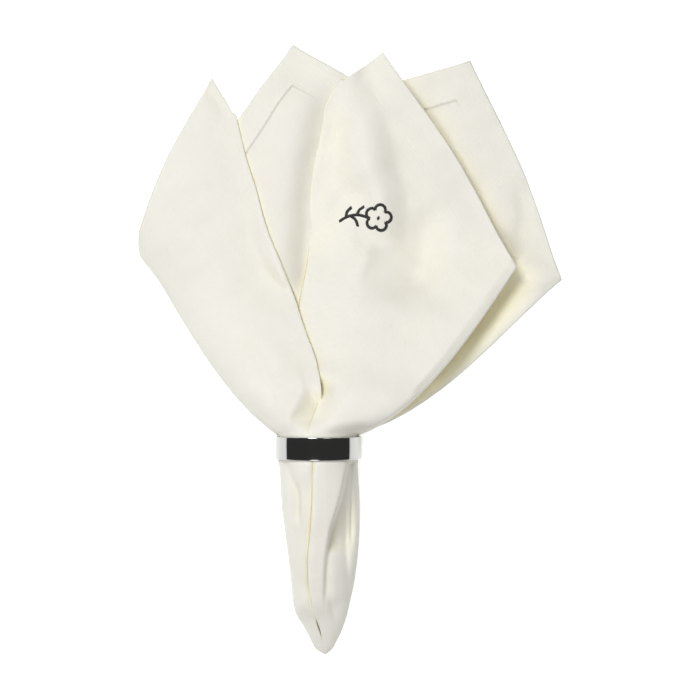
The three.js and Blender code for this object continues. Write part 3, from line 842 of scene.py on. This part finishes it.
class Nodes:
    """Short way to add and link shader nodes."""

    def __init__(self, name):
        self.material = bpy.data.materials.new(name)
        self.material.use_nodes = True
        self.tree = self.material.node_tree
        self.shader = self.tree.nodes["Principled BSDF"]

    def put(self, socket, value):
        if isinstance(value, bpy.types.NodeSocket):
            self.tree.links.new(value, socket)
        else:
            socket.default_value = value

    def add(self, kind, inputs=None, **settings):
        node = self.tree.nodes.new(kind)
        for key, value in settings.items():
            setattr(node, key, value)
        for key, value in (inputs or {}).items():
            self.put(node.inputs[key], value)
        return node

    def math(self, operation, a, b=0.0, c=0.0):
        return self.add("ShaderNodeMath", {0: a, 1: b, 2: c}, operation=operation).outputs[0]

    def noise(self, place, scale, detail):
        return self.add("ShaderNodeTexNoise", {"Vector": place, "Scale": scale, "Detail": detail}).outputs[0]

    def stretched(self, place, scale):
        return self.add("ShaderNodeMapping", {"Vector": place, "Scale": scale}).outputs[0]

    def shaded(self, plain, tone):
        return self.add("ShaderNodeVectorMath", {0: plain, "Scale": tone}, operation="SCALE").outputs[0]

    def bump(self, height, strength, distance):
        inputs = {"Height": height, "Strength": strength, "Distance": distance}
        return self.add("ShaderNodeBump", inputs).outputs[0]

    def fading(self, value, start, end, **settings):
        """1 up to start, and 0 from end on."""
        inputs = {"Value": value, "From Min": start, "From Max": end, "To Min": 1.0, "To Max": 0.0}
        return self.add("ShaderNodeMapRange", inputs, **settings).outputs[0]

    def set(self, **sockets):
        for key, value in sockets.items():
            name = key.replace("_", " ").title().replace("Ior", "IOR")
            self.put(self.shader.inputs[name], value)


def cotton_material(sizes):
    """Plain-woven cotton: threads along the edges, uneven yarn, a sewn hem, and painted shade on its seam
    and between folds.
    """
    nodes = Nodes("plain_woven_cotton")
    place = nodes.add("ShaderNodeUVMap", uv_map="flat_cloth").outputs["UV"]
    parts = nodes.add("ShaderNodeSeparateXYZ", {0: place})
    warp, weft = parts.outputs[0], parts.outputs[1]
    thread = 2 * math.pi / THREAD_PITCH
    over = nodes.math("SINE", nodes.math("MULTIPLY", warp, thread))
    under = nodes.math("SINE", nodes.math("MULTIPLY", weft, thread))
    weave = nodes.math("MULTIPLY", over, under)
    slubs = [
        nodes.noise(nodes.stretched(place, stretch), scale=1.0, detail=2.0) for stretch in SLUB_STRETCHES]
    slub = nodes.math("ADD", slubs[0], slubs[1])
    edge = nodes.math("MAXIMUM", nodes.math("ABSOLUTE", warp), nodes.math("ABSOLUTE", weft))
    inset = nodes.math("SUBTRACT", sizes.side / 2, edge)
    from_seam = nodes.math("ABSOLUTE", nodes.math("SUBTRACT", inset, sizes.hem - SEAM_INSET))
    sewn_side = nodes.add("ShaderNodeUVMap", uv_map="sewn_side").outputs["UV"]
    shows = nodes.add("ShaderNodeSeparateXYZ", {0: sewn_side}).outputs[0]
    # The seam's line: a groove in the relief and painted shade in the tone, as strong as the sewn side shows
    seam = nodes.fading(from_seam, *SEAM_EDGE, interpolation_type="SMOOTHSTEP")
    seam = nodes.math("MULTIPLY", seam, shows)
    band = nodes.fading(inset, sizes.hem - SEAM_INSET, sizes.hem + SEAM_EDGE[0])
    band = nodes.math("MULTIPLY", band, shows)
    cloud = nodes.noise(place, scale=38.0, detail=3.0)
    tone = nodes.math("MULTIPLY_ADD", slub, SLUB_TONE, nodes.math("MULTIPLY", cloud, CLOUD_TONE))
    tone = nodes.math("ADD", tone, PLAIN_TONE)
    # Painted shade along the seam's line, where the hem's step shades the cloth
    tone = nodes.math("SUBTRACT", tone, nodes.math("MULTIPLY", seam, SEAM_PAINTED_SHADE))
    # Painted shade: the cotton's colour turns towards the fold shade where the next fold is near, standing
    # in for warm light bounced between folds
    painted_shade_openness = nodes.add(
        "ShaderNodeAmbientOcclusion", {"Distance": sizes.painted_shade_reach}, samples=4, only_local=True)
    painted_shade_mix = {0: painted_shade_openness.outputs["AO"], 6: (*sizes.painted_fold_shade, 1.0), 7: (*sizes.cotton, 1.0)}
    cotton = nodes.add("ShaderNodeMix", painted_shade_mix, data_type="RGBA").outputs[2]
    height = nodes.math("MULTIPLY_ADD", weave, WEAVE_RELIEF, nodes.math("MULTIPLY", slub, SLUB_RELIEF))
    height = nodes.math("MULTIPLY_ADD", band, HEM_RELIEF, height)
    height = nodes.math("SUBTRACT", height, nodes.math("MULTIPLY", seam, SEAM_RELIEF))
    bump = nodes.bump(height, strength=0.55, distance=0.00016)
    nodes.set(base_color=nodes.shaded(cotton, tone), normal=bump, roughness=0.92, sheen_weight=0.12,
              sheen_roughness=0.5, specular_ior_level=0.2)
    return nodes.material


def thread_material(name, thread_colour, sheen):
    """Twisted sewing thread."""
    nodes = Nodes(name)
    place = nodes.add("ShaderNodeTexCoord").outputs["Object"]
    grain = nodes.noise(place, scale=2600.0, detail=2.0)
    tone = nodes.math("MULTIPLY_ADD", grain, *THREAD_TONE)
    bump = nodes.bump(grain, strength=0.4, distance=0.00008)
    nodes.set(base_color=nodes.shaded(tuple(thread_colour), tone), normal=bump, roughness=0.6,
              sheen_weight=sheen)
    return nodes.material


def metal_material(sizes):
    """Polished metal with faint rubbing marks round the band."""
    nodes = Nodes("polished_band")
    place = nodes.add("ShaderNodeTexCoord").outputs["Object"]
    rubbed = nodes.noise(nodes.stretched(place, RUBBED_STRETCH), scale=1.0, detail=4.0)
    roughness = nodes.math("MULTIPLY_ADD", rubbed, *RUBBED_ROUGHNESS)
    nodes.set(base_color=(*sizes.metal, 1.0), metallic=1.0, roughness=roughness)
    return nodes.material


def table_material(table_colour):
    """Pale table top with a faint glow, so that it stays white under the soft light."""
    nodes = Nodes("studio_table")
    grain = nodes.add("ShaderNodeTexNoise", {"Scale": 900.0}).outputs[0]
    bump = nodes.bump(grain, strength=0.02, distance=0.0001)
    nodes.set(base_color=(*table_colour, 1.0), roughness=0.8, normal=bump,
              emission_color=(1.0, 1.0, 1.0, 1.0), emission_strength=0.55)
    return nodes.material


def stitch_mesh(name, stitches, radius, rise, sides=6):
    """Short threads, each from one end to the other, thick in the middle and tucked in at the ends."""
    vertices, faces = [], []
    for start, end, normal in stitches:
        axis = (end - start).normalized()
        side = axis.cross(normal).normalized()
        base = len(vertices)
        for share, thick, lift in STITCH_PROFILE:
            middle = start.lerp(end, share) + normal * (rise * lift)
            for k in range(sides):
                turn = 2 * math.pi * k / sides
                spoke = side * math.cos(turn) + normal * math.sin(turn)
                vertices.append(middle + spoke * (radius * thick))
        last = base + (len(STITCH_PROFILE) - 1) * sides
        for ring in range(base, last, sides):
            for k in range(sides):
                a, b = ring + k, ring + (k + 1) % sides
                faces.append((a, a + sides, b + sides, b))
        faces.append(tuple(base + k for k in range(sides)))
        faces.append(tuple(last + k for k in reversed(range(sides))))
    return new_piece(name, vertices, faces)


def seam_stitches(sheet, sizes):
    """Running stitches round the hem, on the cloth's outer face."""
    distance = sheet.hem_distance()
    shows, sewn = sheet.seam_shows(), sheet.hem_shows()
    seam = sizes.hem / MM - STITCH_INSET
    rows = len(distance)
    path, normals, sunk, hidden = [], [], [], []
    for column in range(distance.shape[1]):
        row = np.interp(-seam, -distance[:, column], np.arange(rows))
        low = min(int(row), rows - 2)
        for made, values in ((path, sheet.points), (normals, sheet.normals)):
            made.append(mix(values[low, column], values[low + 1, column], row - low))
        sunk.append(1 - shows[low, column])
        hidden.append(1 - sewn[low, column])
    path, normals, sunk, hidden = (np.array(made + made[:1]) for made in (path, normals, sunk, hidden))
    lengths = path_lengths(path)
    stitch = sizes.stitch / MM
    below, above = sizes.thickness / 2 / MM, sizes.hem_extra / MM

    def read(values, at):
        return np.array([np.interp(at, lengths, values[:, k]) for k in range(3)])

    stitches = []
    for start in np.arange(0, lengths[-1] - stitch, stitch * STITCH_PITCH):
        ends = [read(path, at) for at in (start, start + stitch)]
        normal = read(normals, start + stitch / 2)
        normal /= np.linalg.norm(normal)
        on_floor = normal[2] < 0 and min(end[2] for end in ends) < STITCH_FLOOR
        if on_floor or np.interp(start, lengths, hidden) > STITCH_HIDDEN:
            continue
        depth = np.interp(start, lengths, sunk)
        lift = below * (STITCH_SEAT - STITCH_SINK * depth) + above * (STITCH_SEAT - depth)
        a, b = (Vector((end + normal * lift) * MM) for end in ends)
        stitches.append((a, b, Vector(normal)))
    return stitches


def satin_stitches(cloth, sizes):
    """Slanted stitches side by side along each stroke of the flower, laid on the cloth."""
    tree = BVHTree.FromPolygons(
        [v.co for v in cloth.data.vertices], [tuple(p.vertices) for p in cloth.data.polygons])
    root, head = (np.array(p) for p in (FLOWER_ROOT, FLOWER_HEAD))
    stem_length = np.linalg.norm(head - root)
    stem = (head - root) / stem_length
    across = np.array((-stem[1], stem[0]))
    width = sizes.satin / MM
    nudge = 0.1
    stitches = []
    for stroke in FLOWER_STROKES + [blossom_stroke(stem_length)]:
        points = np.array([root + stem * a + across * b for a, b in stroke.points])
        knots = path_lengths(points)
        at = np.arange(0, knots[-1] + SATIN_PITCH / 2, SATIN_PITCH)
        places = smooth_curve(knots, points, at)
        ahead = smooth_curve(knots, points, np.minimum(at + nudge, knots[-1]))
        behind = smooth_curve(knots, points, np.maximum(at - nudge, 0))
        for place, direction in zip(places, ahead - behind):
            angle = math.atan2(direction[1], direction[0]) + math.pi / 2 - SATIN_SLANT
            reach = np.array((math.cos(angle), math.sin(angle))) * width / 2
            ends = [dropped(tree, place + reach * sign) for sign in (-1, 1)]
            normal = dropped(tree, place)[1]
            stitches.append((ends[0][0], ends[1][0], normal))
    return stitches


def blossom_stroke(stem_length):
    """Scalloped outline of the blossom, round the stem's head."""
    points = []
    count = BLOSSOM_PETALS * PETAL_STEPS
    for i in range(count + 1):
        turn = 2 * math.pi * i / count + math.pi
        petal = abs(math.sin(BLOSSOM_PETALS * (turn - math.pi) / 2))
        radius = BLOSSOM_RADIUS * (1 - BLOSSOM_SCALLOP + 2 * BLOSSOM_SCALLOP * petal ** PETAL_FULLNESS)
        points.append((stem_length + radius * math.cos(turn), radius * math.sin(turn)))
    return Stroke("blossom", tuple(points))


def dropped(tree, place):
    """Point and normal of the cloth straight under a place in plan."""
    above = Vector((place[0] * MM, place[1] * MM, CAD_HIGH.z + DROP_HEIGHT))
    hit, normal, _, _ = tree.ray_cast(above, Vector((0, 0, -1)))
    if hit is None:
        raise RuntimeError("the flower reaches past the cloth")
    return hit, normal


def ring_mesh(sizes):
    """The band as a smooth turned ring with rounded edges."""
    outer, half = RING_OUTER * MM, RING_WIDTH / 2 * MM
    inner = outer - sizes.wall
    round_steps = 4
    segments = 180
    profile = []
    for corner, (radius, y) in enumerate(((outer, half), (inner, half), (inner, -half), (outer, -half))):
        centre_r = radius + sizes.edge * (-1 if radius == outer else 1)
        centre_y = y - math.copysign(sizes.edge, y)
        for i in range(round_steps + 1):
            turn = math.pi / 2 * (corner + i / round_steps)
            profile.append((centre_r + sizes.edge * math.cos(turn), centre_y + sizes.edge * math.sin(turn)))
    vertices, faces = [], []
    for i in range(segments):
        turn = 2 * math.pi * i / segments
        for radius, y in profile:
            x, z = radius * math.sin(turn), radius * math.cos(turn)
            vertices.append((RING_X * MM + x, RING_Y * MM + y, RING_Z * MM + z))
    count = len(profile)
    for i in range(segments):
        j = (i + 1) % segments
        for k in range(count):
            m = (k + 1) % count
            faces.append((i * count + k, i * count + m, j * count + m, j * count + k))
    return new_piece("napkin_ring", vertices, faces)


class NAPKIN_OT_cloth(bpy.types.Operator):
    """Make the cloth, pinched at its middle and fanned out beyond the ring"""
    bl_idname = "napkin.cloth"
    bl_label = "Cloth"

    def execute(self, context):
        sizes = context.scene.napkin_sizes
        cloth = cloth_mesh(ClothSheet(sizes), sizes)
        cloth.data.materials.append(cotton_material(sizes))
        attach(cloth, "root")
        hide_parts("napkin")
        return {"FINISHED"}


class NAPKIN_OT_hem_stitches(bpy.types.Operator):
    """Sew the hem with running stitches"""
    bl_idname = "napkin.hem_stitches"
    bl_label = "Hem stitches"

    def execute(self, context):
        sizes = context.scene.napkin_sizes
        stitches = seam_stitches(ClothSheet(sizes), sizes)
        sewn = stitch_mesh("hem_stitches", stitches, radius=0.00017, rise=0.00010)
        sewn.data.materials.append(thread_material("hem_thread", sizes.cotton, sheen=0.1))
        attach(sewn, "root")
        return {"FINISHED"}


class NAPKIN_OT_flower(bpy.types.Operator):
    """Embroider the flower on the third corner's panel"""
    bl_idname = "napkin.flower"
    bl_label = "Embroidered flower"

    def execute(self, context):
        sizes = context.scene.napkin_sizes
        cloth = bpy.data.objects["napkin_cloth"]
        stitches = satin_stitches(cloth, sizes)
        flower = stitch_mesh("embroidered_flower", stitches, radius=0.00026, rise=0.00028)
        flower.data.materials.append(thread_material("embroidery_floss", sizes.floss, sheen=0.2))
        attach(flower, "root")
        return {"FINISHED"}


class NAPKIN_OT_ring(bpy.types.Operator):
    """Make the polished band"""
    bl_idname = "napkin.ring"
    bl_label = "Ring"

    def execute(self, context):
        sizes = context.scene.napkin_ring_sizes
        band = ring_mesh(sizes)
        band.data.materials.append(metal_material(sizes))
        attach(band, "root")
        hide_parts("ring")
        return {"FINISHED"}


class NAPKIN_OT_stage(bpy.types.Operator):
    """Set the table, the soft lights and the camera"""
    bl_idname = "napkin.stage"
    bl_label = "Stage"

    def execute(self, context):
        sizes = context.scene.napkin_stage_sizes
        scene = context.scene
        corners = [(x * TABLE_REACH, y * TABLE_REACH, 0) for x, y in ((-1, -1), (1, -1), (1, 1), (-1, 1))]
        floor = new_piece("table_top", corners, [(0, 1, 2, 3)])
        floor.data.materials.append(table_material(sizes.table))
        for name, place in SOFTBOXES.items():
            self.softbox(scene, f"softbox_{name}", place, getattr(sizes, f"{name}_power"))
        world = bpy.data.worlds.new("dark_studio")
        world.use_nodes = True
        background = world.node_tree.nodes["Background"]
        background.inputs["Color"].default_value = (1.0, 1.0, 1.0, 1.0)
        background.inputs["Strength"].default_value = ROOM_LIGHT
        scene.world = world
        camera = bpy.data.cameras.new("camera")
        camera.lens = camera.sensor_width * sizes.camera_height / sizes.frame_width
        view = bpy.data.objects.new("camera", camera)
        view.location = (0, 0, sizes.camera_height)
        scene.collection.objects.link(view)
        scene.camera = view
        scene.view_settings.view_transform = "Standard"
        return {"FINISHED"}

    def softbox(self, scene, name, place, energy):
        light = bpy.data.lights.new(name, "AREA")
        light.shape = "DISK"
        light.size = SOFTBOX_SIZE
        light.energy = energy
        box = bpy.data.objects.new(name, light)
        box.location = place
        box.rotation_euler = (-Vector(place)).to_track_quat("-Z", "X").to_euler()
        scene.collection.objects.link(box)


class NAPKIN_PT_panel(bpy.types.Panel):
    """Sidebar panel that lists the pieces"""
    bl_idname = "NAPKIN_PT_panel"
    bl_label = "Napkin in a ring"
    bl_space_type = "VIEW_3D"
    bl_region_type = "UI"
    bl_category = "Napkin"

    def draw(self, context):
        for operator in OPERATORS:
            self.layout.operator(operator.bl_idname)


PROPERTY_GROUPS = {
    "napkin_sizes": NapkinSizes,
    "napkin_ring_sizes": RingSizes,
    "napkin_stage_sizes": StageSizes,
}
OPERATORS = (NAPKIN_OT_stage, NAPKIN_OT_cloth, NAPKIN_OT_hem_stitches, NAPKIN_OT_flower, NAPKIN_OT_ring)


def register():
    for name, group in PROPERTY_GROUPS.items():
        bpy.utils.register_class(group)
        setattr(bpy.types.Scene, name, bpy.props.PointerProperty(type=group))
    for operator in OPERATORS:
        bpy.utils.register_class(operator)
    bpy.utils.register_class(NAPKIN_PT_panel)


def unregister():
    bpy.utils.unregister_class(NAPKIN_PT_panel)
    for operator in reversed(OPERATORS):
        bpy.utils.unregister_class(operator)
    for name, group in PROPERTY_GROUPS.items():
        delattr(bpy.types.Scene, name)
        bpy.utils.unregister_class(group)


def main():
    register()
    bpy.ops.napkin.stage()
    bpy.ops.napkin.cloth()
    bpy.ops.napkin.hem_stitches()
    bpy.ops.napkin.flower()
    bpy.ops.napkin.ring()


if __name__ == "__main__":
    main()
